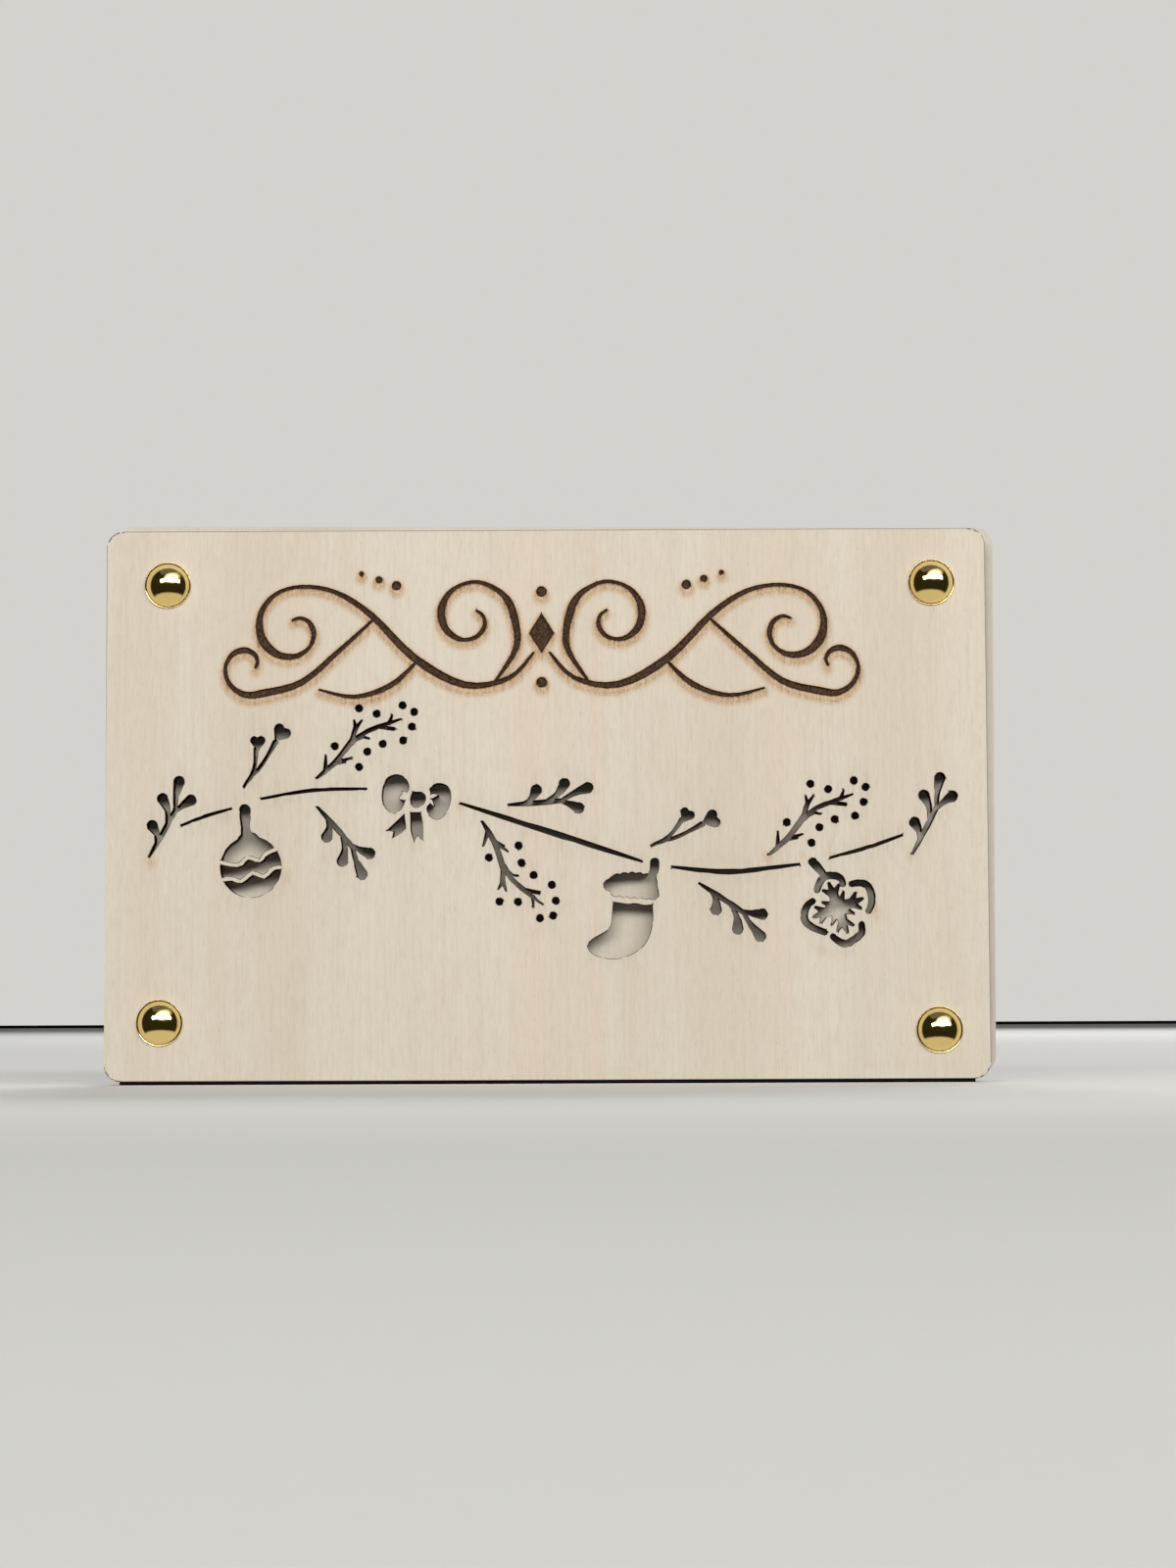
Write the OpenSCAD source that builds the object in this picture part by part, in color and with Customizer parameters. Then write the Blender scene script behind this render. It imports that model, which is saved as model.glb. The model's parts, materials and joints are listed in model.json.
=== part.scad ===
// Gift card holder: two laser-cut plywood boards held together by four brass paper fasteners.
// A card or a folded note slides between the boards and shows through the cut-out garland.
// X runs across, Y from front to back, Z up. The origin is in the middle of the front board's bottom edge.

/* [Boards] */
// Width of each board
board_w = 160; // [130:1:220]
// Height of each board
board_h = 100; // [80:1:140]
// Thickness of each three-ply board
board_t = 3; // [2:0.1:4]
// Thickness of each outer veneer
veneer_t = 0.6; // [0.4:0.05:0.8]
// Radius of the board corners
corner_r = 3; // [1:0.5:8]
// Card slot between the boards at rest
slot_gap = 0.3; // [0.1:0.05:1.5]
// How much wider the slot opens when the back board is pulled away
slot_slack = 0.6; // [0.2:0.05:1.2]
// How much shorter the back board is at its lower edge, which keeps it clear of the table
back_trim = 0.6; // [0:0.1:2]

/* [Fasteners] */
// Diameter of the holes in the front board
hole_d = 5.2; // [3.5:0.1:5.6]
// Diameter of the holes in the back board
back_hole_d = 5.8; // [5:0.1:8]
// Distance of the hole centres from the board edges
hole_inset = 10; // [8:0.5:14]
// Diameter of the domed head
head_d = 8.4; // [7:0.1:11]
// Height of the domed head
head_h = 2.6; // [2:0.1:3.2]
// Thickness of the sheet that the head is pressed from
shell_t = 0.3; // [0.2:0.02:0.4]
// Width of the leg strip
leg_w = 1.8; // [1.2:0.1:2.2]
// Thickness of one leg
leg_t = 0.3; // [0.2:0.02:0.4]
// Length of the longer leg from the front face to its tip
long_leg = 17; // [15:0.5:22]
// Length of the shorter leg from the front face to its tip
short_leg = 16; // [14:0.5:21]
// Length of the taper at the tip of a leg
tip_len = 2.4; // [1:0.1:3]
// Gap that lets metal pieces turn against the wood and each other
run_clear = 0.05; // [0.02:0.01:0.1]

/* [Ornament] */
// Bare wood left at the board's sides
art_side = 5; // [3:0.5:12]
// Bare wood left at the board's top and bottom
art_edge = 5; // [3:0.5:12]
// Width of the wood that the laser burns away
kerf = 0.12; // [0.04:0.02:0.24]
// Depth of the engraved scroll
engrave_depth = 0.3; // [0.1:0.05:0.35]

/* [Hidden] */
$fn = 96;
SCROLL_STEPS = 4;

// The ornament is drawn in millimetres on a sheet of this size, centred on the board
SHEET = [150, 90];
art_scale = min((board_w - 2 * art_side) / SHEET.x, (board_h - 2 * art_edge) / SHEET.y);

// Corner name, side, level, how far the fastener strays in its hole, and its turn about its own axis
CORNERS = [
    ["tl", -1, 1, [0.72, 0.06], 42],
    ["tr", 1, 1, [0.13, 0.06], -50],
    ["bl", -1, -1, [0, 0.38], -38],
    ["br", 1, -1, [0.5, -0.72], 47]
];

// The back board strays further than the fasteners do, as a share of their play
BACK_STRAY = [0.985, 0.61];
BACK_TURN_STRAY = 0.308;
BACK_PLAY_RATIO = 1.15;

hole_x = board_w / 2 - hole_inset;
hole_z = board_h / 2 - hole_inset;
leg_split = run_clear;
shank_r = norm([leg_w / 2, leg_t + leg_split / 2]);
front_play = hole_d / 2 - shank_r - run_clear;
back_play = back_hole_d / 2 - shank_r - run_clear;
play = min(front_play, back_play / BACK_PLAY_RATIO);
back_turn = asin(BACK_TURN_STRAY * play / norm([hole_x, hole_z]));

front_y = -board_t / 2;
back_y = board_t / 2 + slot_gap;
stack_t = 2 * board_t + slot_gap;

// The dome is part of a sphere that runs into a rolled bead at its rim
bead_r = 0.6 * shell_t;
dome_base_r = head_d / 2 - 0.6 * bead_r;
dome_r = (dome_base_r * dome_base_r + head_h * head_h) / (2 * head_h);
dome_centre = head_h - dome_r;

// The strip is folded over a bar that the cap holds between its dome and its inner flange
bar_z = run_clear + shell_t;
bar_top = bar_z + 2 * leg_t;
dome_inner = dome_r - shell_t;
bar_room = sqrt(pow(dome_inner, 2) - pow(bar_top - run_clear - dome_centre, 2));
bar_reach = sqrt(pow(bar_room, 2) - pow(leg_w / 2, 2)) - 2 * run_clear;
flange_r = bar_reach - 2 * shell_t;

// Where each leg bends outwards, behind the back board
bend_x = (leg_split + leg_t) / 2;
bend_z = -(stack_t + slot_slack + run_clear + leg_t / 2);

PIECES = ["cap", "prong", "long_leg", "short_leg"];

// Curves through hand-chosen points

function spline(a, b, c, d, t) =
    b + t * (c - a) / 2 + t * t * (2 * a - 5 * b + 4 * c - d) / 2 + t * t * t * (3 * b - a - 3 * c + d) / 2;

function curve(p, steps = 3) = let (n = len(p) - 1) concat(
    [for (i = [0:n - 1], k = [0:steps - 1])
        spline(p[max(i - 1, 0)], p[i], p[i + 1], p[min(i + 2, n)], k / steps)],
    [p[n]]
);

function polar(r, a) = r * [cos(a), sin(a)];

// Points of a curl that tightens from the first radius and angle to the second
function spiral(centre, r, a, n = 7) = [for (i = [0:n])
    centre + polar(r[0] + (r[1] - r[0]) * i / n, a[0] + (a[1] - a[0]) * i / n)];

function blend(v, u) = len(v) == 1 ? v[0] :
    let (s = u * (len(v) - 1), i = min(floor(s), len(v) - 2)) v[i] + (v[i + 1] - v[i]) * (s - i);

function heading(p, i) = let (d = p[min(i + 1, len(p) - 1)] - p[max(i - 1, 0)]) d / norm(d);

function beside(p, i, off) = let (h = heading(p, i)) p[i] + off * [-h.y, h.x];

// A line along a path, its width blended evenly through the widths given, with round ends
module stroke(path, widths) {
    n = len(path) - 1;
    half = [for (i = [0:n]) blend(widths, i / n) / 2];
    for (i = [0:n - 1]) {
        j = i + 1;
        polygon([
            beside(path, i, half[i]), beside(path, i, -half[i]),
            beside(path, j, -half[j]), beside(path, j, half[j])
        ]);
    }
    for (i = [0, n]) translate(path[i]) circle(half[i]);
}

// Places one motif of the ornament on the board and widens it by what the laser burns away
module motif(at, turn = 0) {
    $fn = 0;
    $fa = 12;
    $fs = 0.4;
    offset(delta = kerf / 2)
        translate([0, board_h / 2]) scale(art_scale) translate(at) rotate(turn) children();
}

// Garland motifs, each drawn upright from its own base point

module leaf_sprig() {
    stem = curve([[0, 0], [2.9, 5.1], [4.7, 8.5]]);
    leaf_w = [0.45, 0.55, 0.8, 1.4, 1.8];
    stroke(stem, [0.2, 0.75, 0.75, 0.6]);
    stroke(curve([[1.3, 2.1], [1.3, 4], [0.5, 5.6]]), leaf_w);
    stroke(curve([[3.2, 5.9], [3.25, 8.4], [2.35, 10.5]]), leaf_w);
    stroke(curve([[4.6, 8.2], [4.8, 11], [5.35, 13.6]]), leaf_w);
    stroke(curve([[4.5, 8], [5.8, 9.1], [7.5, 10.2]]), leaf_w);
}

module berry_sprig() {
    berries = [
        [3.3, 5.8], [7.7, 12.7], [10.9, 11.7], [15.6, 13.2], [17.7, 12],
        [17.3, 9.3], [15.7, 6.8], [12, 6.2], [9.2, 4.8], [7.7, 2]
    ];
    thorn_w = [0.6, 0.35, 0.12];
    stroke(curve([[0, 0], [3.3, 2.8], [6.4, 6.8]]), [0.2, 0.75, 0.75, 0.85]);
    stroke([[6.4, 6.6], [6.7, 8], [7.1, 9.2]], [0.8, 0.6, 0.7]);
    stroke(curve([[6.3, 6.4], [8.6, 8.2], [11.2, 9.3], [15.3, 10.7]]), [0.8, 0.6, 0.65, 0.12]);
    stroke([[7.1, 9], [6.8, 10.5]], thorn_w);
    stroke([[7.1, 9.1], [8.2, 10.5]], thorn_w);
    stroke([[13.2, 10], [13.7, 11.4]], thorn_w);
    stroke([[11.2, 9.3], [14, 8.9]], [0.6, 0.45]);
    stroke([[7.2, 7.1], [8.4, 7.5], [9.4, 7.2]], thorn_w);
    stroke([[1.6, 1.6], [1.65, 4.1]], thorn_w);
    stroke([[3.4, 2.8], [5.2, 2.9]], thorn_w);
    stroke([[3.8, 2.9], [6.1, 3.6]], thorn_w);
    for (berry = berries) translate(berry) circle(0.63);
}

module heart(w, lean) {
    rotate(lean) {
        for (side = [-1, 1]) translate([side * 0.235 * w, 0.05 * w]) circle(0.265 * w);
        polygon(w * [[0, -0.66], [0.452, -0.1], [0, 0.15], [-0.452, -0.1]]);
    }
}

module heart_sprig() {
    stroke(curve([[0, 0], [1.8, 3], [2.2, 6.9]]), [0.25, 0.6, 0.4, 0.7]);
    stroke(curve([[1.1, 1.5], [3.4, 4.2], [5.7, 8.1]]), [0.5, 0.5, 0.4, 0.8]);
    translate([2.5, 8.3]) heart(2.5, 0);
    translate([6.9, 10]) heart(3.1, -35);
}

module branch(middle, end, w) {
    stroke(curve([[0, 0], middle, end], 6), [0.2, 0.65 * w, 0.9 * w, 0.65 * w, 0.2]);
}

module bauble() {
    band = 0.95;
    hanger = [[-1.1, 10.4], [-1.05, 8.9], [-1.05, 7.3], [-0.8, 5.8], [-0.4, 4.2]];
    upper = [[-6, 1], [-2.4, 0.35], [-0.55, 1.7], [1.6, 1.2], [2.9, 2.55], [6, 3.6]];
    lower = [[-6, -2.4], [-3.4, -2.1], [-1.75, -2.55], [0.3, -1.1], [2.4, -1.7], [4.2, -0.2], [6, -0.1]];
    difference() {
        union() {
            circle(5.45);
            stroke(curve(hanger), [1.8, 1.7, 1.25, 1.8, 4.2]);
        }
        for (wave = [upper, lower]) stroke(curve(wave), [band]);
    }
}

module bow() {
    left_loop = [
        [-2.1, 1.3], [-1.7, 2.1], [-2, 3.2], [-2.8, 4.1], [-4.2, 4.4], [-5.7, 3.6],
        [-6.4, 1.4], [-6.2, -0.9], [-4.7, -2.5], [-3.5, -2], [-2.8, -1.3], [-2.5, -0.3]
    ];
    left_crease = [[-3.4, -0.1], [-3.6, 0.3], [-3, 1], [-3.1, 1.7]];
    right_loop = [
        [2.2, 1.8], [2.8, 2.5], [3.9, 2.8], [5.3, 2.3], [5.8, 1.2], [5.8, -0.4], [5.1, -2.3],
        [4.3, -3.3], [3.4, -3.6], [2.4, -3.2], [1.8, -2.3], [1.7, -1.5], [2.2, -0.9]
    ];
    right_crease = [[2.9, -1.4], [3, -0.9], [2.6, 0], [3.9, 0.7], [3, 1.1], [2.4, 1]];
    knot = [[1.2, 0.7], [1.3, 0], [0.9, -0.8], [-0.1, -1.4], [-1, -1.2], [-1.3, 0.1], [-0.9, 1.3]];
    left_end = [[-2.5, -2.7], [-5.4, -5.6], [-4.3, -5.7], [-4.5, -6.8], [-3, -6.1], [-2.3, -5.2]];
    right_end = [
        [-1.3, -2.5], [0.4, -2.5], [0.7, -4.2], [0.9, -7.5], [-0.2, -6.3], [-0.7, -7.7], [-1.2, -5.7]
    ];
    polygon(concat(curve(left_loop), left_crease));
    polygon(concat(curve(right_loop), right_crease));
    polygon(concat(curve(knot), [[-0.1, 1.2], [0.6, 1.3]]));
    polygon(left_end);
    polygon(right_end);
}

module stocking() {
    scallop = 0.95;
    boot = [
        [0, 1.5], [0.1, -0.5], [-0.1, -2.4], [-0.7, -4.3], [-1.7, -5.9], [-3.6, -7.2], [-5.9, -8],
        [-8.2, -8], [-10.3, -7.4], [-11.4, -6.4], [-11.5, -5.5], [-10.5, -4.5], [-8.5, -3.4],
        [-7.6, -2.6], [-7.2, -1.4], [-6.9, 2]
    ];
    stroke([[-6.6, 5.3], [-0.6, 4.9]], [2.9, 3]);
    for (i = [0:4]) translate([-6.3 + 1.35 * i, 6.2 + 0.3 * sin(45 * i)]) circle(scallop);
    for (i = [0:5]) translate([-6.5 + 1.35 * i, 4.1 - 0.12 * i]) circle(scallop);
    translate([-7.7, 5.2]) circle(scallop);
    translate([0, 4.2]) circle(scallop + 0.1);
    stroke(curve([[0.55, 9.3], [0.5, 8.2], [0.1, 6.9], [-0.4, 5.6]]), [1.4, 1.4, 1.3, 2.6]);
    polygon(concat(curve(boot), [[-4.3, 1.7], [-2.9, 1.75], [-1.4, 1.4]]));
}

module snowflake() {
    brackets = [
        [[2.5, 4.3], [4, 4.5], [5.3, 4], [6, 2.6], [6.1, 0.9], [5.5, -0.6]],
        [[-3.8, 3.2], [-3.5, 4.1], [-2.9, 5.2], [-1.9, 5.8], [-0.5, 5.8], [0.5, 5.3], [0.9, 4.3]],
        [[-4.6, 1.2], [-5.5, 0.5], [-6.1, -0.8], [-6, -2.3], [-4.7, -3.5], [-2.5, -4.4]],
        [[-1, -5.2], [0.1, -6.1], [1.5, -6.5], [3, -5.6], [4.2, -4.6], [4.2, -3]]
    ];
    arm_turn = 19.4;
    spike_turn = 70.5;
    circle(1.5);
    for (quarter = [0:90:270]) {
        rotate(quarter + arm_turn) {
            stroke([[0.6, 0], [3, 0]], [2, 1.3]);
            stroke([[2.7, 0], polar(4.7, 1)], [1.3, 0.3]);
            for (side = [-1, 1]) stroke([[2.4, 0], polar(4.1, 21 * side)], [1.2, 0.3]);
        }
        rotate(quarter + spike_turn) stroke([[0.8, 0], [3, 0]], [1.4, 0.2]);
    }
    for (bracket = brackets) stroke(curve(bracket), [0.9, 1.1, 1.1, 0.9]);
    stroke(curve([[-4.5, 8.3], [-3.7, 7.4], [-2.5, 6]]), [1.4, 1.3, 0.9]);
}

module garland() {
    motif([-72, -9.3]) leaf_sprig();
    motif([-41.5, -0.5], 12) mirror([0, 1]) leaf_sprig();
    motif([-6.8, -0.2], -56.5) leaf_sprig();
    motif([27.6, -14.6], 27.4) mirror([0, 1]) leaf_sprig();
    motif([66.3, -9.3], 1.2) leaf_sprig();
    motif([-41.7, 4.8]) berry_sprig();
    motif([-11.7, -3.2], -19) mirror([0, 1]) berry_sprig();
    motif([40.3, -9.4], 0.6) berry_sprig();
    motif([-54.9, 3.3]) heart_sprig();
    motif([19, -7.7], -32) heart_sprig();
    motif([-66.2, -3.7]) branch([4.4, 1.7], [9, 3], 0.45);
    motif([-51.7, 1.1]) branch([9.4, 1.5], [19, 1.7], 0.5);
    motif([-15.6, 0.1]) branch([17.9, -5.8], [32.7, -10.6], 1);
    motif([22.8, -11.6]) branch([10.3, -0.9], [22.9, 0.4], 0.85);
    motif([51.4, -10]) branch([6.7, 1.8], [13, 4], 0.55);
    motif([-53.6, -11.3]) bauble();
    motif([-23.3, 0.9]) bow();
    motif([19, -20]) stocking();
    motif([52.7, -19.1]) snowflake();
}

// Right half of the engraved scroll, drawn from the middle outwards
module half_scroll() {
    sweep = concat(
        [[1.5, -3], [6, -7.6], [14, -8.8], [23, -4], [31, 4], [37.4, 8.2]],
        spiral([45, 1.4], [8, 1.8], [100, -280], 10)
    );
    curl = concat([[8.4, -8.1], [4.6, -2], [5, 3.6]], spiral([13, 3.4], [7.4, 1.8], [145, -230], 9));
    tail = concat([[30.4, 3.4], [37, -2.6], [43.6, -8.2]], spiral([53.4, -5.2], [5.8, 1.4], [-122, 190], 8));
    stem = [[22.6, -4.4], [27.4, -8.8], [34, -10.9], [40.4, -9.6]];
    stroke(curve(sweep, SCROLL_STEPS), [0.3, 0.8, 1.4, 1, 0.6, 0.5, 0.9, 1.5, 1, 0.5, 0.8, 0.55, 0.3]);
    stroke(curve(curl, SCROLL_STEPS), [0.3, 1, 1.3, 0.6, 0.5, 1.2, 1.1, 0.5, 0.7, 0.5, 0.3]);
    stroke(curve(tail, SCROLL_STEPS), [0.3, 0.9, 1.3, 0.7, 0.5, 1, 0.6, 0.3]);
    stroke(curve(stem, SCROLL_STEPS), [0.3, 0.9, 0.6, 0.2]);
    for (i = [0:2]) translate([26.4 + 3.2 * i, 9.4 + 1.1 * i]) circle(0.8 - 0.2 * i);
}

module scroll() {
    motif([-0.8, 30.5]) {
        half_scroll();
        mirror([1, 0]) half_scroll();
        polygon([[0, 4.2], [2.2, 0.6], [0, -3], [-2.2, 0.6]]);
        translate([0, 8.2]) circle(0.9);
        translate([0, -8.4]) circle(0.9);
    }
}

// Board outlines, drawn with the middle of the front board's bottom edge at the origin

module rounded_board(trim) {
    translate([-board_w / 2 + corner_r, trim]) square([board_w - 2 * corner_r, board_h - trim]);
    translate([-board_w / 2, trim + corner_r]) square([board_w, board_h - trim - 2 * corner_r]);
    for (x = [-1, 1], z = [trim + corner_r, board_h - corner_r])
        translate([x * (board_w / 2 - corner_r), z]) circle(corner_r);
}

module board_blank(d, trim = 0) {
    difference() {
        rounded_board(trim);
        for (x = [-hole_x, hole_x], z = [-hole_z, hole_z]) translate([x, board_h / 2 + z]) circle(d = d);
    }
}

// Lays a drawing on the board's front, extruded backwards from depth y over thickness t
module slab(y, t) {
    translate([0, y + t, 0]) rotate([90, 0, 0]) linear_extrude(t) children();
}

module front_ply() {
    difference() {
        board_blank(hole_d);
        garland();
    }
}

module front_face_veneer() {
    color("#e0d3bc") difference() {
        slab(front_y, veneer_t) front_ply();
        slab(front_y - engrave_depth, 2 * engrave_depth) scroll();
    }
}

module front_core() {
    color("#c9b596") slab(front_y + veneer_t, board_t - 2 * veneer_t) front_ply();
}

module front_inner_veneer() {
    color("#dccdb3") slab(-front_y - veneer_t, veneer_t) front_ply();
}

module back_ply() {
    board_blank(back_hole_d, back_trim);
}

// Shifts and turns the back board on its loose fasteners
module back_place() {
    translate([BACK_STRAY.x * play, 0, BACK_STRAY.y * play + board_h / 2])
        rotate([0, back_turn, 0]) translate([0, 0, -board_h / 2]) children();
}

module back_inner_veneer() {
    color("#dccdb3") back_place() slab(back_y, veneer_t) back_ply();
}

module back_core() {
    color("#c9b596") back_place() slab(back_y + veneer_t, board_t - 2 * veneer_t) back_ply();
}

module back_rear_veneer() {
    color("#dccdb3") back_place() slab(back_y + board_t - veneer_t, veneer_t) back_ply();
}

// Fastener pieces, drawn on the fastener's axis with the front face at height 0 and the head upwards

module seated(corner) {
    stray = play * corner[3];
    translate([corner[1] * hole_x + stray.x, front_y, board_h / 2 + corner[2] * hole_z + stray.y])
        rotate([90, 0, 0]) rotate([0, 0, corner[4]]) children();
}

module cap() {
    color("#d9a62e") translate([0, 0, run_clear]) rotate_extrude() intersection() {
        square([head_d, 2 * head_h]);
        union() {
            difference() {
                translate([0, dome_centre]) circle(dome_r);
                translate([0, dome_centre]) circle(dome_inner);
            }
            translate([head_d / 2 - bead_r, 0.8 * bead_r]) circle(bead_r);
            translate([flange_r, 0]) square([head_d / 2 - bead_r - flange_r, shell_t]);
        }
    }
}

module prong() {
    color("#c8962c") {
        translate([-bar_reach, -leg_w / 2, bar_z]) cube([2 * bar_reach, leg_w, 2 * leg_t]);
        for (side = [-1, 1])
            translate([side * bend_x, leg_w / 2, 0]) rotate([90, 0, 0]) linear_extrude(leg_w) {
                translate([-leg_t / 2, bend_z]) square([leg_t, bar_z + leg_t - bend_z]);
                translate([0, bend_z]) circle(leg_t / 2);
            }
    }
}

// One bent leg, lying flat behind the boards from the bend to its tip
module leg(side, reach) {
    root = bend_x + leg_t / 2 + run_clear;
    tip = bend_x + reach + bend_z;
    tip_w = 0.3 * leg_w;
    color("#c8962c") translate([0, 0, bend_z - leg_t / 2]) linear_extrude(leg_t) scale([side, 1]) polygon([
        [root, -leg_w / 2], [tip - tip_len, -leg_w / 2], [tip, -tip_w / 2],
        [tip, tip_w / 2], [tip - tip_len, leg_w / 2], [root, leg_w / 2]
    ]);
}

front_face_veneer();
front_core();
front_inner_veneer();
back_inner_veneer();
back_core();
back_rear_veneer();
for (corner = CORNERS) {
    seated(corner) cap();
    seated(corner) prong();
    seated(corner) leg(1, long_leg);
    seated(corner) leg(-1, short_leg);
}
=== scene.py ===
"""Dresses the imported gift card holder: laser-scorched plywood boards and polished brass paper fasteners."""
import json
import math

import bpy
import numpy as np
from mathutils import Matrix, Vector, geometry, kdtree


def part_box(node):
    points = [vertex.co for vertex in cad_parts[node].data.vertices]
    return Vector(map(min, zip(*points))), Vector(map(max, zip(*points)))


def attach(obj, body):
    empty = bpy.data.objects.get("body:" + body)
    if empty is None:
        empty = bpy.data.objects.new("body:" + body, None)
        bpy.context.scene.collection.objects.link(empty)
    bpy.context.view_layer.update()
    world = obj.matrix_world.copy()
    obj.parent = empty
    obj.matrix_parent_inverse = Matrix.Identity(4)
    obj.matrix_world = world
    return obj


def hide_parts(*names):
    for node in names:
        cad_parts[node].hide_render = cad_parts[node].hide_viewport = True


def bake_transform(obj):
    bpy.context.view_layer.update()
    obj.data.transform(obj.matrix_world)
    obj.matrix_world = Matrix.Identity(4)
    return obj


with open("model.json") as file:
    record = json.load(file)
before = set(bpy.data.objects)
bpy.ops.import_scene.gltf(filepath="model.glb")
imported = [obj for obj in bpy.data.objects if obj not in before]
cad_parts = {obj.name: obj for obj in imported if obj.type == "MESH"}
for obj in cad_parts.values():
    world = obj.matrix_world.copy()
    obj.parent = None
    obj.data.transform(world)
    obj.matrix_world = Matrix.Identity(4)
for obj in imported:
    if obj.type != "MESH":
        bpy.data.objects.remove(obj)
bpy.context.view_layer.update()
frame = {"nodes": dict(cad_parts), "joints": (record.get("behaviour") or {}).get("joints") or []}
MM = 0.001
CORNERS = ("tl", "tr", "bl", "br")
FRONT_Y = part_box("front_face_veneer")[0].y
VENEER_BACK_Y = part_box("front_face_veneer")[1].y
FLOOR_Y = FRONT_Y + 0.3 * MM

# Sizes of the CAD model in millimetres: the front board, its hole centres and its plies
BOARD_W = 160
BOARD_H = 100
HOLE_X = 70
HOLE_Z = 40
VENEER_T = 0.6

# Height of the gap between the table and the front board, which a black panel fills as painted shadow
GAP = 0.6 * MM


# Node helpers


def srgb(r, g, b):
    shares = (c / 255 for c in (r, g, b))
    return tuple(((c + 0.055) / 1.055) ** 2.4 if c > 0.04 else c / 12.92 for c in shares) + (1.0,)


class Nodes:
    """An empty node tree, with one method for each kind of node used here."""

    def __init__(self, tree):
        self.tree = tree
        tree.nodes.clear()

    def put(self, socket, value):
        if isinstance(value, bpy.types.NodeSocket):
            self.tree.links.new(value, socket)
        else:
            socket.default_value = value

    def add(self, kind, inputs=None, **settings):
        node = self.tree.nodes.new("ShaderNode" + kind)
        for key, value in settings.items():
            setattr(node, key, value)
        for key, value in (inputs or {}).items():
            self.put(node.inputs[key], value)
        return node

    def math(self, operation, a, b=0.0):
        node = self.add("Math", operation=operation)
        self.put(node.inputs[0], a)
        self.put(node.inputs[1], b)
        return node.outputs[0]

    def mix(self, factor, a, b):
        node = self.add("Mix", data_type="RGBA", clamp_factor=True)
        self.put(node.inputs[0], factor)
        self.put(node.inputs[6], a)
        self.put(node.inputs[7], b)
        return node.outputs[2]

    def band(self, value, low, high):
        """0 below low, 1 above high, smooth between."""
        node = self.add("MapRange", interpolation_type="SMOOTHSTEP")
        for key, v in zip(("Value", "From Min", "From Max"), (value, low, high)):
            self.put(node.inputs[key], v)
        return node.outputs[0]

    def split(self, vector):
        return self.add("SeparateXYZ", {"Vector": vector}).outputs


class Shader(Nodes):
    """A material with a principled surface, patterned by the object's own coordinates."""

    def __init__(self, name):
        self.material = bpy.data.materials.new(name)
        self.material.use_nodes = True
        super().__init__(self.material.node_tree)
        self.surface = self.add("BsdfPrincipled")
        self.add("OutputMaterial", {"Surface": self.surface.outputs[0]})
        self.place = self.add("TexCoord").outputs["Object"]
        self.facing = self.add("TexCoord").outputs["Normal"]

    def noise(self, per_mm, detail=2.0, roughness=0.5, distortion=0.0, shift=0.0):
        """Noise with that many features per millimetre along x, y and z."""
        place = self.add("Mapping", {"Vector": self.place, "Location": (shift, shift, shift)})
        place.inputs["Scale"].default_value = [f / MM for f in per_mm]
        node = self.add("TexNoise", {"Vector": place.outputs[0], "Scale": 1.0, "Detail": detail,
                                     "Roughness": roughness, "Distortion": distortion})
        return node.outputs["Fac"]

    def mark(self, name):
        return self.add("Attribute", attribute_name=name, attribute_type="GEOMETRY").outputs["Fac"]

    def bump(self, height, distance, strength):
        return self.add("Bump", {"Height": height, "Distance": distance, "Strength": strength}).outputs[0]

    def finish(self, **inputs):
        for key, value in inputs.items():
            self.put(self.surface.inputs[key.replace("_", " ")], value)
        return self.material


# Wood


def charred(s, shift):
    """Colour of a laser-cut wall: near black, browner where less burnt, with the plies' lines."""
    streak = s.noise((2.2, 0.25, 2.2), 3, 0.6, shift=shift)
    patch = s.noise((0.25, 0.5, 0.25), 2, shift=shift + 3)
    colour = s.mix(s.band(streak, 0.35, 0.7), srgb(24, 16, 11), srgb(58, 38, 24))
    colour = s.mix(s.math("MULTIPLY", s.band(patch, 0.5, 0.8), 0.5), colour, srgb(92, 60, 36))
    waves = {"Vector": s.place, "Scale": 1 / (VENEER_T * MM) / 2, "Distortion": 0.3}
    ply = s.add("TexWave", waves, bands_direction="Y").outputs["Fac"]
    return s.mix(s.math("MULTIPLY", s.band(ply, 0.75, 1), 0.35), colour, srgb(12, 8, 6))


def veneer_colour(s, shift, light, dark, warm):
    """Bare birch: broad bands, faint mottling, fine upright fibres and short pores."""
    broad = s.noise((0.05, 0.05, 0.006), 3, 0.55, shift=shift)
    fibre = s.noise((1.6, 1.6, 0.03), 3, 0.65, shift=shift + 5)
    fine = s.noise((5.0, 5.0, 0.35), 2, 0.6, shift=shift + 9)
    mottle = s.noise((0.9, 0.9, 0.45), 3, 0.6, shift=shift + 11)
    pores = s.noise((5.5, 5.5, 0.7), 1, 0.5, shift=shift + 13)
    tint = s.noise((0.09, 0.09, 0.004), 2, 0.5, shift=shift + 17)
    colour = s.mix(s.band(broad, 0.25, 0.78), light, dark)
    colour = s.mix(s.math("MULTIPLY", s.band(tint, 0.5, 0.75), 0.25), colour, warm)
    colour = s.mix(s.math("MULTIPLY", s.band(mottle, 0.4, 0.75), 0.16), colour, srgb(198, 186, 164))
    colour = s.mix(s.math("MULTIPLY", s.band(fibre, 0.42, 0.8), 0.20), colour, srgb(194, 179, 154))
    colour = s.mix(s.math("MULTIPLY", s.band(fine, 0.4, 0.75), 0.20), colour, srgb(186, 172, 148))
    colour = s.mix(s.math("MULTIPLY", s.band(pores, 0.66, 0.76), 0.20), colour, srgb(156, 132, 104))
    return colour, fibre, fine


CREAM = (srgb(226, 216, 200), srgb(217, 206, 187), srgb(224, 206, 185))
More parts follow.
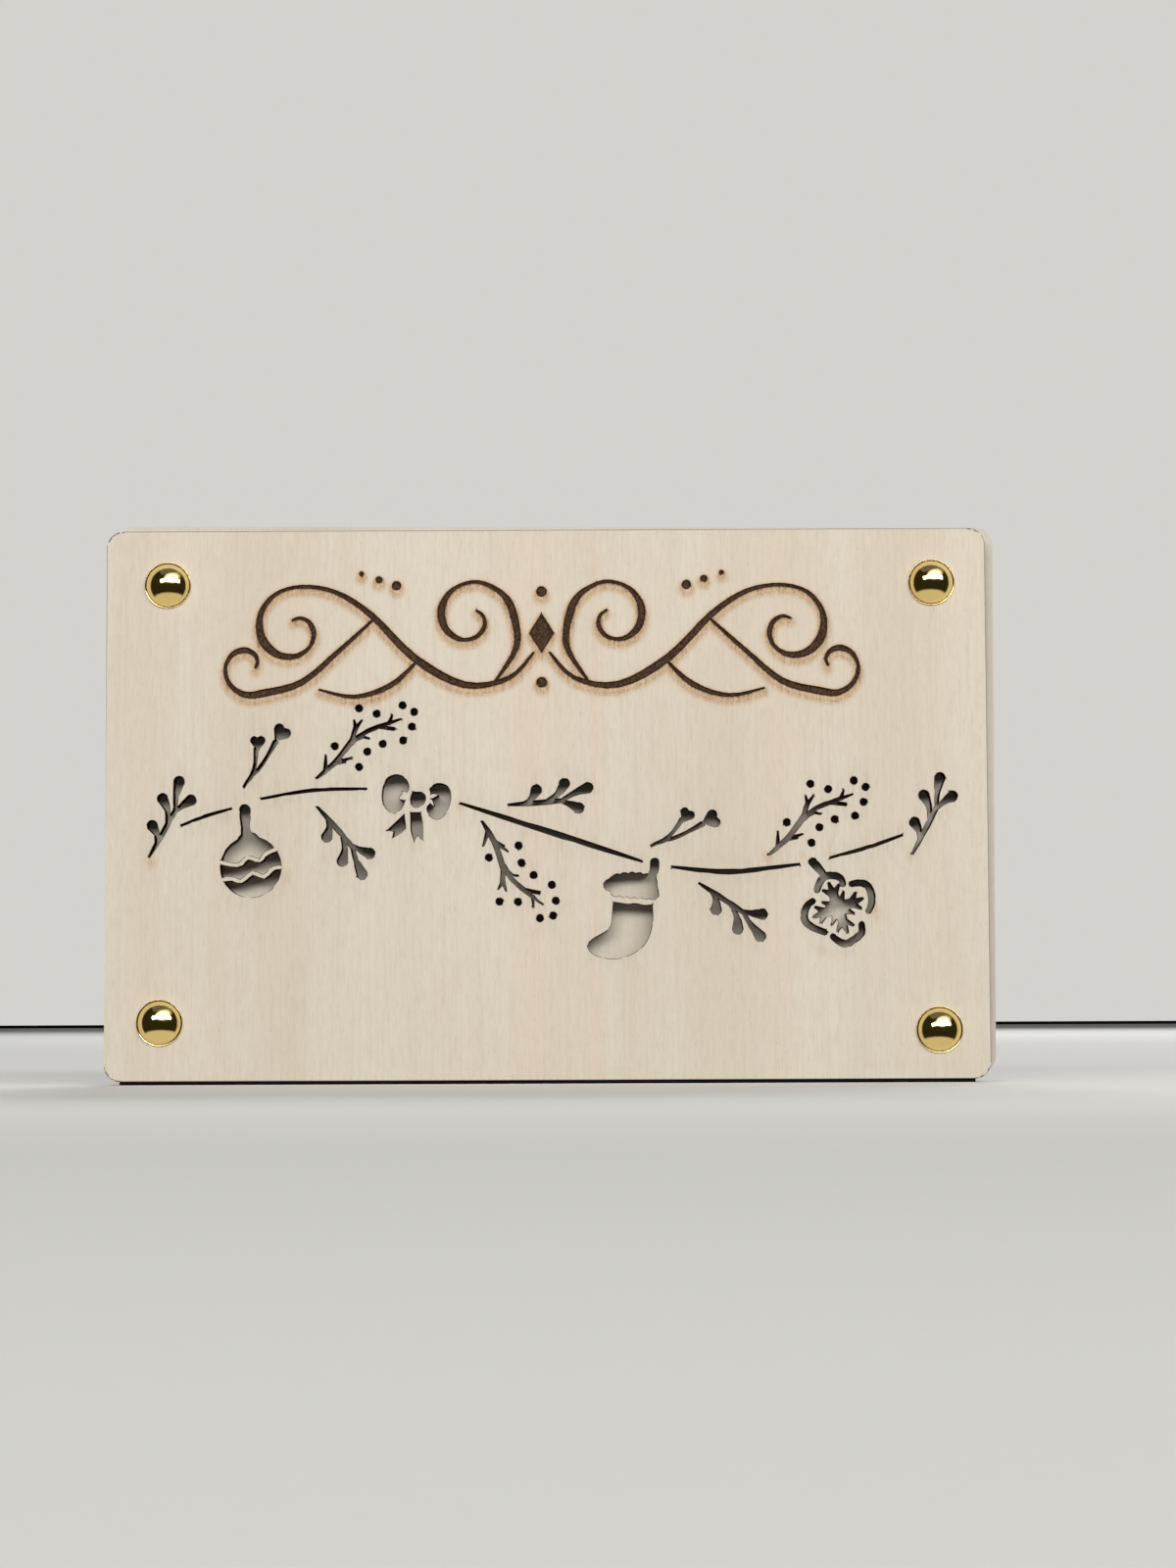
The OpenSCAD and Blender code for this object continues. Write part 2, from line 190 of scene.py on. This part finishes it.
# Painted shade: the cream tones made greyer for the back board's inner face, the cooler tone it shows in
# shadow behind the cut-outs.
SHADE_GREYED = (srgb(222, 214, 200), srgb(212, 203, 187), srgb(220, 204, 186))


def wood(name, shift=0.0, tones=CREAM, marks=False):
    """Bare plywood, with charred walls where the surface doesn't face front or back."""
    s = Shader(name)
    colour, fibre, fine = veneer_colour(s, shift, *tones)
    x, _, z = s.split(s.place)[:3]
    if marks:
        colour = add_marks(s, colour, x, z)
    wall = s.math("SUBTRACT", 1.0, s.band(s.math("ABSOLUTE", s.split(s.facing)[1]), 0.4, 0.6))
    colour = s.mix(wall, colour, charred(s, shift))
    grain = s.bump(s.math("ADD", fibre, fine), 0.00004, 0.35)
    gloss = s.math("SUBTRACT", 0.3, s.math("MULTIPLY", wall, 0.3))
    return s.finish(Base_Color=colour, Roughness=0.68, Normal=grain, Specular_IOR_Level=gloss)


def add_marks(s, colour, x, z):
    """Scorch, soot, singe and a few natural streaks on the decorated face, with painted shade along its
    bottom edge.
    """
    speckle = s.noise((4.5, 4.5, 2.2), 3, 0.7, shift=31)
    wisps = s.noise((1.9, 1.9, 0.22), 3, 0.6, shift=37)
    streaks = ((-2.6, 3.6, 0.34, srgb(226, 198, 172)), (8.9, 1.0, 0.30, srgb(222, 184, 156)),
               (42.5, 2.6, 0.22, srgb(226, 196, 170)), (-46, 3.0, 0.16, srgb(206, 188, 160)))
    for middle, spread, strength, tone in streaks:
        off = s.math("DIVIDE", s.math("SUBTRACT", x, middle * MM), spread * MM)
        hill = s.math("EXPONENT", s.math("MULTIPLY", s.math("MULTIPLY", off, off), -1.0))
        hill = s.math("MULTIPLY", hill, s.band(wisps, 0.25, 0.75))
        colour = s.mix(s.math("MULTIPLY", hill, strength), colour, tone)
    soot = s.math("MULTIPLY", s.mark("soot"), s.band(wisps, 0.3, 0.7))
    colour = s.mix(s.math("MULTIPLY", soot, 0.22), colour, srgb(150, 136, 122))
    grainy = s.math("ADD", s.math("MULTIPLY", speckle, 1.8), s.math("MULTIPLY", wisps, 1.2))
    heat = s.math("MULTIPLY", s.mark("scorch"), s.math("SUBTRACT", grainy, 0.6))
    colour = s.mix(s.math("MULTIPLY", s.band(heat, 0.02, 0.5), 0.8), colour, srgb(196, 162, 120))
    colour = s.mix(s.band(heat, 0.35, 0.9), colour, srgb(124, 88, 56))
    # Singe darkens the charred rims by the strokes and cuts, and paints shade along the bottom edge.
    return s.mix(s.band(s.mark("singe_and_shade"), 0.2, 1.0), colour, srgb(46, 31, 22))


def engraving():
    """The burnt floor of the engraved strokes: dark brown and grainy, darkest along the edges."""
    s = Shader("engraving")
    speckle = s.noise((4.6, 4.6, 3.0), 3, 0.75, shift=41)
    patch = s.noise((0.8, 0.8, 0.3), 2, 0.5, shift=43)
    colour = s.mix(s.band(speckle, 0.36, 0.64), srgb(30, 19, 13), srgb(92, 68, 50))
    colour = s.mix(s.math("MULTIPLY", s.band(patch, 0.5, 0.8), 0.35), colour, srgb(104, 78, 56))
    colour = s.mix(s.math("MULTIPLY", s.mark("singe_and_shade"), 0.8), colour, srgb(26, 17, 12))
    grain = s.bump(speckle, 0.0001, 0.8)
    return s.finish(Base_Color=colour, Roughness=0.85, Normal=grain, Specular_IOR_Level=0.2)


# Brass


def polished(name):
    """Polished brass, faintly dented, scuffed and stained."""
    s = Shader(name)
    swell = s.noise((0.35, 0.35, 0.35), 2, 0.5, shift=7)
    scuffs = s.noise((3, 0.4, 0.6), 3, 0.6, 1.0, shift=11)
    stain = s.noise((0.7, 0.7, 0.7), 3, 0.6, shift=19)
    stained = s.math("MULTIPLY", s.band(stain, 0.5, 0.8), 0.35)
    colour = s.mix(stained, (0.94, 0.75, 0.34, 1), (0.84, 0.62, 0.24, 1))
    rough = s.math("ADD", 0.07, s.math("MULTIPLY", s.band(scuffs, 0.5, 0.85), 0.10))
    dents = s.bump(swell, 0.0001, 0.25)
    return s.finish(Base_Color=colour, Metallic=1.0, Roughness=rough, Normal=dents)


def drawn(name):
    """Rolled brass strip, with fine lines along it and a duller tone than the heads."""
    s = Shader(name)
    lines = s.noise((1.2, 1.2, 1.2), 4, 0.7, 2.0, shift=23)
    stain = s.noise((0.5, 0.5, 0.5), 3, 0.6, shift=29)
    colour = s.mix(s.band(stain, 0.4, 0.75), (0.86, 0.62, 0.26, 1), (0.70, 0.46, 0.18, 1))
    rough = s.math("ADD", 0.2, s.math("MULTIPLY", lines, 0.18))
    return s.finish(Base_Color=colour, Metallic=1.0, Roughness=rough, Normal=s.bump(lines, 0.00003, 0.4))


# Meshes


def new_piece(name, points, faces, smooth=False):
    mesh = bpy.data.meshes.new(name)
    mesh.from_pydata([tuple(p) for p in points], [], [tuple(int(i) for i in f) for f in faces])
    mesh.validate()
    mesh.polygons.foreach_set("use_smooth", [smooth] * len(mesh.polygons))
    piece = bpy.data.objects.new(name, mesh)
    bpy.context.scene.collection.objects.link(piece)
    return piece


def flat_outline(node, y):
    """Corner points (x, z) and edges around the flat, forward-facing area of a CAD node at depth y."""
    mesh = frame["nodes"][node].data
    points, number, corners = [], {}, []
    for vertex in mesh.vertices:
        key = tuple(round(c / MM, 4) for c in vertex.co)
        if key not in number:
            number[key] = len(points)
            points.append(vertex.co.copy())
        corners.append(number[key])
    count = {}
    for face in mesh.polygons:
        if face.normal.y < -0.9 and abs(face.center.y - y) < 1e-6:
            ring = [corners[v] for v in face.vertices]
            for a, b in zip(ring, ring[1:] + ring[:1]):
                count[frozenset((a, b))] = count.get(frozenset((a, b)), 0) + 1
    edges = [tuple(e) for e, n in count.items() if n == 1 and len(e) == 2]
    used = sorted({v for e in edges for v in e})
    place = {v: i for i, v in enumerate(used)}
    flat = [(points[v].x, points[v].z) for v in used]
    return np.array(flat), np.array([(place[a], place[b]) for a, b in edges])


def tree_of(points, edges, stretch=1.0, step=0.12 * MM):
    """A search tree of points spread along edges, with heights multiplied by stretch."""
    samples = []
    for a, b in edges:
        p, q = points[a], points[b]
        n = max(1, math.ceil(np.linalg.norm(q - p) / step))
        samples += [p + (q - p) * i / n for i in range(n)]
    tree = kdtree.KDTree(len(samples))
    for i, p in enumerate(samples):
        tree.insert((p[0], 0, p[1] * stretch), i)
    tree.balance()
    return tree


def far(tree, x, z, stretch=1.0):
    """Distance in millimetres from a place to the nearest point of a search tree."""
    return tree.find((x, 0, z * stretch))[2] / MM


def inside(points, edges, where):
    """For each place, whether the outline's edges enclose it, counting crossings to the right."""
    a, b = points[edges[:, 0]], points[edges[:, 1]]
    result = np.zeros(len(where), bool)
    batch = 2000
    for start in range(0, len(where), batch):
        w = where[start:start + batch]
        spans = (a[None, :, 1] > w[:, None, 1]) != (b[None, :, 1] > w[:, None, 1])
        rise = np.where(b[:, 1] == a[:, 1], 1.0, b[:, 1] - a[:, 1])
        cross = a[None, :, 0] + (w[:, None, 1] - a[None, :, 1]) * ((b[:, 0] - a[:, 0]) / rise)[None, :]
        result[start:start + batch] = (np.sum(spans & (cross > w[:, None, 0]), axis=1) % 2) == 1
    return result


def lattice(low, high, pitch):
    """Staggered rows of points that fill a rectangle."""
    rows = []
    row_gap = pitch * math.sqrt(3) / 2
    for j in range(int((high[1] - low[1]) / row_gap) + 1):
        x = np.arange(low[0] + (j % 2) * pitch / 2, high[0], pitch)
        rows.append(np.stack([x, np.full(len(x), low[1] + j * row_gap)], axis=1))
    return np.concatenate(rows)


def triangulate(points, edges, extra):
    """Triangles of the area enclosed by edges, through the extra points as well."""
    spots = [Vector(p) for p in points] + [Vector(p) for p in extra]
    sides = [tuple(int(i) for i in e) for e in edges]
    out, _, faces = geometry.delaunay_2d_cdt(spots, sides, [], 0, 1e-9)[:3]
    out = np.array([tuple(p) for p in out])
    faces = np.array([f for f in faces if len(f) == 3])
    keep = inside(points, edges, out[faces].mean(axis=1))
    return out, faces[keep]


def ring_points(points, edges, outline, offsets, step):
    """Points beside the edges at those distances and about that far apart, within the whole outline."""
    found, owed = [], 0.0
    for a, b in edges:
        along = points[b] - points[a]
        length = np.linalg.norm(along)
        side = np.array([-along[1], along[0]]) / max(length, 1e-9)
        owed += length / step
        count, owed = int(owed), owed - int(owed)
        for i in range(count):
            at = points[a] + along * (i + 0.5) / count
            found += [at + side * off * way * MM for off in offsets for way in (-1, 1)]
    found = np.array(found)
    found = found[inside(points, outline, found)]
    near = tree_of(points, outline)
    return [p for p in found if far(near, *p) > 0.8 * min(offsets)]


def wound(points, face, forward):
    """A triangle's corners in the order that turns it to the front, or else to the back."""
    a, b, c = (points[i] for i in face)
    turn = (b[0] - a[0]) * (c[1] - a[1]) - (b[1] - a[1]) * (c[0] - a[0])
    return tuple(face) if (turn > 0) == forward else tuple(face[::-1])


def key_of(p):
    return (round(p[0] / MM, 4), round(p[1] / MM, 4))


# Scorched spots beside the cut-outs: x, z, width, height in millimetres, strength
SPOTS = (
    (-71.8, 39.6, 1.3, 1.6, 0.75), (-58.0, 47.6, 1.2, 1.6, 0.4), (-46.8, 37.2, 0.9, 2.4, 0.6),
    (-47.8, 35.0, 0.8, 3.0, 0.3), (-41.9, 54.0, 0.9, 1.4, 0.45), (-30.8, 68.6, 1.2, 1.4, 0.35),
    (-15.9, 49.6, 1.2, 1.5, 0.55), (-7.0, 49.0, 1.2, 1.2, 0.5), (-11.6, 44.9, 1.1, 1.4, 0.4),
    (17.6, 40.6, 1.1, 1.6, 0.4), (19.2, 42.6, 1.0, 1.6, 0.45), (40.0, 39.9, 1.5, 1.6, 0.7),
    (46.6, 40.3, 1.2, 1.5, 0.5), (51.0, 41.2, 1.2, 1.8, 0.4), (59.6, 29.8, 1.0, 2.0, 0.7),
    (49.6, 23.2, 1.6, 1.2, 0.7), (66.0, 40.0, 1.2, 1.4, 0.5), (64.3, 45.2, 1.0, 1.2, 0.35),
    (3.0, 31.0, 1.4, 1.2, 0.35), (27.8, 36.6, 1.0, 1.2, 0.3),
)


def face_marks(points, cut, burnt, flat, near_rim):
    """Scorch, soot and singe for each point of the decorated face, from its distance to the strokes; along
    the bottom edge the singe is painted shade.
    """
    near_cut, near_burnt = tree_of(flat, cut), tree_of(flat, burnt)
    soot_stretch = 0.16
    tall_cut = tree_of(flat, cut, soot_stretch)
    drift = 0.9 * MM
    side_rim, bottom_shade_rim = 0.16, 0.4
    scorch, soot, singe_and_shade = [], [], []
    for x, z in points:
        from_cut, from_burnt = far(near_cut, x, z), far(near_burnt, x, z)
        from_above = far(near_burnt, x, z + drift)
        heat = 0.5 * math.exp(-from_burnt / 0.1) + 0.16 * math.exp(-from_burnt / 1.1)
        heat += 0.42 * math.exp(-((from_above / 0.8) ** 2)) + 0.12 * math.exp(-from_cut / 0.3)
        for spot_x, spot_z, width, height, strength in SPOTS:
            off = ((x / MM - spot_x) / width) ** 2 + ((z / MM - spot_z) / height) ** 2
            if off < 6:
                heat += strength * 0.42 * math.exp(-off)
        scorch.append(min(heat, 1.2))
        soot.append(0.8 * math.exp(-((far(tall_cut, x, z, soot_stretch) / 0.42) ** 2)))
        # Painted shade: along the bottom edge the rim darkens over a broader band, standing in for the dark
        # gap under the board; elsewhere it is the thin char of the laser-cut rim.
        rim = bottom_shade_rim if z < 0.6 * MM else side_rim
        outer = 1 - far(near_rim, x, z) / rim
        singe_and_shade.append(max(0.0, 0.6 - from_burnt / 0.15, 1.4 - from_cut / 0.13, outer))
    return {"scorch": scorch, "soot": soot, "singe_and_shade": singe_and_shade}


def sort_edges(flat, edges, floor):
    """Which edges of the face are the engraving's, the cut-outs', and the board's own rim and holes."""
    floor_keys = {key_of(p) for p in floor}
    burnt = np.array([key_of(flat[a]) in floor_keys and key_of(flat[b]) in floor_keys for a, b in edges])
    middle = (flat[edges[:, 0]] + flat[edges[:, 1]]) / 2 / MM
    x, z = np.abs(middle[:, 0]), np.abs(middle[:, 1] - BOARD_H / 2)
    hole_reach, rim_reach = 3.2, 3.5
    hole = np.hypot(x - HOLE_X, z - HOLE_Z) < hole_reach
    rim = (x > BOARD_W / 2 - rim_reach) | (z > BOARD_H / 2 - rim_reach)
    return burnt, ~(burnt | hole | rim), hole | rim


def face_points(flat, edges, cut, burnt, rim, near_rim):
    """Extra points of the decorated face: dense beside the strokes and cuts, sparse elsewhere."""
    near = tree_of(flat, np.concatenate([cut, burnt]), step=0.25 * MM)
    low, high = flat.min(axis=0), flat.max(axis=0)
    fine = [p for p in lattice(low, high, 0.5 * MM) if 0.3 < far(near, *p) < 2.6]
    coarse = [p for p in lattice(low, high, 3.0 * MM) if far(near, *p) > 3.0]
    extra = [p for p in fine + coarse if far(near_rim, *p) > 0.7]
    extra += ring_points(flat, rim, edges, (0.18, 0.45), 0.6 * MM)
    extra += ring_points(flat, burnt, edges, (0.09, 0.25), 0.22 * MM)
    extra += ring_points(flat, cut, edges, (0.16, 0.36), 0.24 * MM)
    return extra


def decorated_face():
    """The face veneer again, from its own outlines, with points dense enough to carry the scorch marks."""
    node = "front_face_veneer"
    flat, edges = flat_outline(node, FRONT_Y)
    floor, floor_edges = flat_outline(node, FLOOR_Y)
    is_burnt, is_cut, is_rim = sort_edges(flat, edges, floor)
    cut, burnt, rim = edges[is_cut], edges[is_burnt], edges[is_rim]
    near_rim = tree_of(flat, rim, step=0.4 * MM)
    points, faces = triangulate(flat, edges, face_points(flat, edges, cut, burnt, rim, near_rim))

    near_floor = tree_of(floor, floor_edges)
    floor_grid = lattice(floor.min(axis=0), floor.max(axis=0), 0.3 * MM)
    floor_extra = [p for p in floor_grid if far(near_floor, *p) > 0.1]
    floor_points, floor_faces = triangulate(floor, floor_edges, floor_extra)

    first_floor = len(points)
    first_behind = first_floor + len(floor_points)
    vertices = [(x, FRONT_Y, z) for x, z in points]
    vertices += [(x, FLOOR_Y, z) for x, z in floor_points]
    vertices += [(x, VENEER_BACK_Y, z) for x, z in flat]
    front_number = {key_of(p): i for i, p in enumerate(points)}
    floor_number = {key_of(p): i + first_floor for i, p in enumerate(floor_points)}
    back_number = {key_of(p): i + first_behind for i, p in enumerate(flat)}

    out_faces = [wound(points, f, True) for f in faces]
    slots = [0] * len(out_faces)
    facing = {(i, j) for f in out_faces for i, j in zip(f, f[1:] + f[:1])}
    for f in floor_faces:
        out_faces.append(tuple(i + first_floor for i in wound(floor_points, f, True)))
        slots.append(1)
    for edge, burn in zip(edges, is_burnt):
        a, b = (key_of(flat[i]) for i in edge)
        if (front_number[a], front_number[b]) not in facing:
            a, b = b, a
        inner = floor_number if burn else back_number
        out_faces.append((front_number[b], front_number[a], inner[a], inner[b]))
        slots.append(1 if burn else 0)
    back_points, back_faces = triangulate(flat, edges[~is_burnt], [])
    for f in back_faces:
        out_faces.append(tuple(back_number[key_of(back_points[i])] for i in wound(back_points, f, False)))
        slots.append(0)

    piece = new_piece("decorated_face", vertices, out_faces)
    piece.data.materials.append(wood("decorated_veneer", marks=True))
    piece.data.materials.append(engraving())
    piece.data.polygons.foreach_set("material_index", slots)
    for name, values in face_marks(points, cut, burnt, flat, near_rim).items():
        if name == "singe_and_shade":
            values += [max(0.0, 1 - far(near_floor, *p) / 0.35) for p in floor_points]
        values += [0.0] * (len(vertices) - len(values))
        layer = piece.data.attributes.new(name, "FLOAT", "POINT")
        layer.data.foreach_set("value", np.array(values, np.float32))
    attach(piece, "front_board")
    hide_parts(node)


def arc(radius, first, last, steps):
    """Places (across, up) along an arc, with angles from straight up."""
    angles = [first + (last - first) * i / steps for i in range(steps + 1)]
    return [(radius * math.sin(a), radius * math.cos(a)) for a in angles]


def dome_profile(rim_r, tall):
    """Outline (radius, height) of the head: outer sphere, rolled rim, then the hollow underside."""
    shell, bead = 0.3 * MM, 0.18 * MM
    foot = rim_r - 0.6 * bead
    radius = (foot * foot + tall * tall) / (2 * tall)
    centre = tall - radius
    inner = radius - shell
    hollow_top = math.acos((0.35 * MM - centre) / inner)
    profile = [(r, centre + h) for r, h in arc(radius, 0, 0.985 * math.asin(foot / radius), 32)]
    rolled = arc(bead, math.radians(20), math.radians(180), 8)
    profile += [(rim_r - bead + r, 0.8 * bead + h) for r, h in rolled]
    profile.append((rim_r - 3.0 * bead, 0.0))
    profile += [(r, centre + h) for r, h in arc(inner, hollow_top, 0, 8)]
    return [(max(r, 0.0), min(max(h, 0.0), tall)) for r, h in profile]


def dome(corner, metal):
    """The fastener's head as one smooth turned shell with a rolled rim."""
    low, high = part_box("cap_" + corner)
    centre_x, centre_z = (low.x + high.x) / 2, (low.z + high.z) / 2
    turns = 96
    points, rings = [], []
    for r, h in dome_profile((high.x - low.x) / 2, high.y - low.y):
        count = turns if r > 1e-7 else 1
        rings.append(range(len(points), len(points) + count))
        for k in range(count):
            a = 2 * math.pi * k / turns
            points.append((centre_x + r * math.cos(a), high.y - h, centre_z + r * math.sin(a)))
    faces = []
    for lower, upper in zip(rings, rings[1:]):
        for k in range(turns):
            steps = ((lower, k), (lower, k + 1), (upper, k + 1), (upper, k))
            quad = [ring[i % len(ring)] for ring, i in steps]
            face = list(dict.fromkeys(quad))
            if len(face) > 2:
                faces.append(face[::-1])
    piece = new_piece("head_" + corner, points, faces, smooth=True)
    piece.data.materials.append(metal)
    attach(piece, "fastener_" + corner)
    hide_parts("cap_" + corner)


# Shares of a leg's length at which its strip has a cross-section, closest at the pointed tip
LEG_STOPS = (0.08, 0.2, 0.35, 0.5, 0.62, 0.72, 0.78, 0.84, 0.9, 0.95, 0.985, 1.0)


def strip_path(shank_low, pivot_y, bend, tip):
    """The strip's middle line: distance out, depth and how far it has turned outwards."""
    shank_top = pivot_y - bend
    path = [(0.0, shank_low + (shank_top - shank_low) * i / 5, 0.0) for i in range(6)]
    for i in range(1, 8):
        a = math.pi / 2 * i / 7
        path.append((bend * (1 - math.cos(a)), shank_top + bend * math.sin(a), a))
    return path + [(bend + (tip - bend) * t, pivot_y, math.pi / 2) for t in LEG_STOPS]


def strip(corner, length, metal):
    """Half of the folded strip in one piece: down the shank, round the bend and along the leg to its tip."""
    body = f"{length}_leg_{corner}"
    joint = next(j for j in frame["joints"] if j["child"] == body)
    pivot, axis = Vector(joint["pos_m"]), Vector(joint["axis"])
    low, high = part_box(body)
    centre = Vector(((low.x + high.x) / 2, pivot.y, (low.z + high.z) / 2))
    out = (centre - pivot) - axis * (centre - pivot).dot(axis)
    tip = 2 * out.length + 0.02 * MM
    out.normalize()
    backwards = Vector((0, 1, 0))
    half_t, half_w, soft, bend = 0.15 * MM, 0.9 * MM, 0.06 * MM, 0.24 * MM
    shank_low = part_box("prong_" + corner)[0].y + 0.45 * MM
    taper = tip - 2.4 * MM
    points, rings = [], []
    for d, y, a in strip_path(shank_low, pivot.y, bend, tip):
        along = max(0.0, (d - taper) / (tip - taper)) if a else 0.0
        w = half_w * (1 - 0.7 * along ** 1.25)
        if along > 0.96:
            w *= 0.8
        flat_w, flat_t = w - soft, half_t - soft
        section = [(-w, -flat_t), (-flat_w, -half_t), (flat_w, -half_t), (w, -flat_t),
                   (w, flat_t), (flat_w, half_t), (-flat_w, half_t), (-w, flat_t)]
        normal = out * math.cos(a) - backwards * math.sin(a)
        middle = Vector((pivot.x, y, pivot.z)) + out * d
        rings.append(range(len(points), len(points) + len(section)))
        points += [middle + axis * u + normal * v for u, v in section]
    faces = [tuple(rings[0]), tuple(rings[-1])[::-1]]
    for lower, upper in zip(rings, rings[1:]):
        for k in range(len(lower)):
            after = (k + 1) % len(lower)
            faces.append((lower[k], upper[k], upper[after], lower[after]))
    piece = new_piece(f"{length}_strip_{corner}", points, faces)
    piece.data.materials.append(metal)
    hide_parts(body)
    if length == "long":
        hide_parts("prong_" + corner)
    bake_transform(piece)


# The object

decorated_face()
for node, material in (
    ("front_core", wood("front_core_wood", 3.0)),
    ("front_inner_veneer", wood("front_inner_wood", 6.0)),
    # The back board's inner face takes the greyed tones: painted shade.
    ("back_inner_veneer", wood("back_inner_wood_shade_greyed", 12.0, SHADE_GREYED)),
    ("back_core", wood("back_core_wood", 15.0)),
    ("back_rear_veneer", wood("back_rear_wood", 21.0)),
):
    for holder in frame["nodes"][node].material_slots:
        holder.material = material
head_metal, strip_metal = polished("head_brass"), drawn("strip_brass")
for corner in CORNERS:
    dome(corner, head_metal)
    strip(corner, "long", strip_metal)
    strip(corner, "short", strip_metal)


# Floor, light and camera


def matt(name, colour, front=None):
    """A dull surface, of another colour towards the front if one is given: for the table that colour is
    darker, painted shade that evens out the lamps' light.
    """
    s = Shader(name)
    cloud = s.noise((0.6, 0.6, 0.6), 3, 0.6)
    shade = srgb(*colour)
    if front:
        # Painted shade: towards the front the colour turns to the darker front colour.
        shade = s.mix(s.band(s.split(s.place)[1], -0.04, -0.34), shade, srgb(*front))
    shade = s.mix(s.math("MULTIPLY", cloud, 0.04), shade, srgb(150, 150, 148))
    return s.finish(Base_Color=shade, Roughness=1.0, Specular_IOR_Level=0.0)


def panel(name, corners, material):
    """A flat stage piece."""
    piece = new_piece(name, corners, [(0, 1, 2, 3)])
    piece.data.materials.append(material)
    return piece


def upright(name, left, right, y, high, material):
    """An upright stage panel on the table, measured in millimetres."""
    low = -GAP / MM
    outline = ((left, low), (right, low), (right, high), (left, high))
    panel(name, [(x * MM, y * MM, z * MM) for x, z in outline], material)


# The table lights the boards no more than the room does, which keeps narrow cut-outs dark, and the domes
# show the world's pale floor in its place
TABLE_REACH = 6.0
table_corners = [(x * TABLE_REACH, y * TABLE_REACH, 0) for x, y in ((-1, -1), (1, -1), (1, 1), (-1, 1))]
# The table's darker front colour is painted shade against the lamps' falloff.
table = panel("table", table_corners, matt("table_paint_and_shade", (214, 213, 209), (188, 188, 184)))
table.location.z = -GAP
table.visible_diffuse = False
table.visible_glossy = False

# Black panels as painted shadow: the dark gap under the boards, and the dark line where the table meets the
# wall
black = matt("painted_shadow_black", (9, 9, 9))
upright("gap_shadow_panel", -77.2, 77.2, -1.2, 0, black)
upright("far_joint_shadow_panel", -6000, 6000, 5990, 5.4, black)

world = bpy.data.worlds.new("studio")
bpy.context.scene.world = world
world.use_nodes = True
air = Nodes(world.node_tree)
across, ahead, upward = air.split(air.add("TexCoord").outputs["Generated"])[:3]

# Reflections see a dark room in front of the boards with one bright oval window, a pale wall behind and
# a pale floor
WINDOW_X, WINDOW_Z = 0.22, 0.55
WINDOW_REACH_X, WINDOW_REACH_Z = 0.5, 0.33
DARK_ROOM = srgb(44, 40, 26)
PALE_FLOOR = srgb(208, 202, 186)
PALE_WALL = srgb(214, 206, 190)
WINDOW_GLARE = (2.6, 2.5, 2.3, 1)
ROOM_LIGHT = (0.17, 0.17, 0.17, 1)
BACKGROUND = srgb(211, 210, 206)

from_window = air.add("VectorMath", operation="LENGTH")
air.put(from_window.inputs[0], air.add("CombineXYZ", {
    "X": air.math("DIVIDE", air.math("SUBTRACT", across, WINDOW_X), WINDOW_REACH_X),
    "Y": air.band(ahead, -0.1, 0.1),
    "Z": air.math("DIVIDE", air.math("SUBTRACT", upward, WINDOW_Z), WINDOW_REACH_Z),
}).outputs[0])
mirrored = air.mix(air.band(upward, -0.48, -0.64), DARK_ROOM, PALE_FLOOR)
mirrored = air.mix(air.band(ahead, -0.08, 0.1), mirrored, PALE_WALL)
mirrored = air.mix(air.band(from_window.outputs["Value"], 1.15, 0.6), mirrored, WINDOW_GLARE)
rays = air.add("LightPath").outputs
seen = air.mix(rays["Is Glossy Ray"], ROOM_LIGHT, mirrored)
seen = air.mix(rays["Is Camera Ray"], seen, BACKGROUND)
air.add("OutputWorld", {"Surface": air.add("Background", {"Color": seen}).outputs[0]})


def lamp(name, angle, height, distance, size, power, colour=(1, 1, 1)):
    """A lamp turned to the board, by degrees to the right of its front and above it."""
    data = bpy.data.lights.new(name, "AREA")
    data.shape = "RECTANGLE"
    data.size, data.size_y = size
    data.energy = power
    data.color = colour
    light = bpy.data.objects.new(name, data)
    bpy.context.scene.collection.objects.link(light)
    turn, rise = math.radians(angle), math.radians(height)
    away = Vector((math.sin(turn) * math.cos(rise), -math.cos(turn) * math.cos(rise), math.sin(rise)))
    light.location = Vector((0, 0, BOARD_H / 2 * MM)) + away * distance
    light.rotation_euler = (-away).to_track_quat("-Z", "Y").to_euler()


lamp("window", 10, 28, 1.6, (3.0, 0.5), 35.5, (1.0, 0.985, 0.965))
lamp("ceiling", 0, 88, 1.6, (2.0, 2.0), 1.5)
lamp("rear_fill", 165, 38, 3.0, (2.0, 1.0), 56.0, (0.97, 0.98, 1.0))

# The camera stands where the photo's corners of the board fit best, with a focal length in photo pixels
PHOTO_HEIGHT = 1600
FOCAL_PIXELS = 3350
camera = bpy.data.objects.new("camera", bpy.data.cameras.new("camera"))
bpy.context.scene.collection.objects.link(camera)
bpy.context.scene.camera = camera
camera.data.sensor_width = 36
camera.data.lens = FOCAL_PIXELS / PHOTO_HEIGHT * camera.data.sensor_width
camera.data.clip_start = 0.01
camera.data.clip_end = 20
CAMERA_PLACE = (8.49 * MM, -595.5 * MM, 10.74 * MM)
pitch, yaw, roll = (math.radians(a) for a in (4.12, 0.092, 0.236))
turn = Matrix.Rotation(yaw, 4, "Z") @ Matrix.Rotation(pitch, 4, "X") @ Matrix.Rotation(roll, 4, "Y")
forward = Matrix.Rotation(math.radians(90), 4, "X")
camera.matrix_world = Matrix.Translation(CAMERA_PLACE) @ turn @ forward
bpy.context.scene.view_settings.view_transform = "Standard"
bpy.context.scene.view_settings.look = "None"
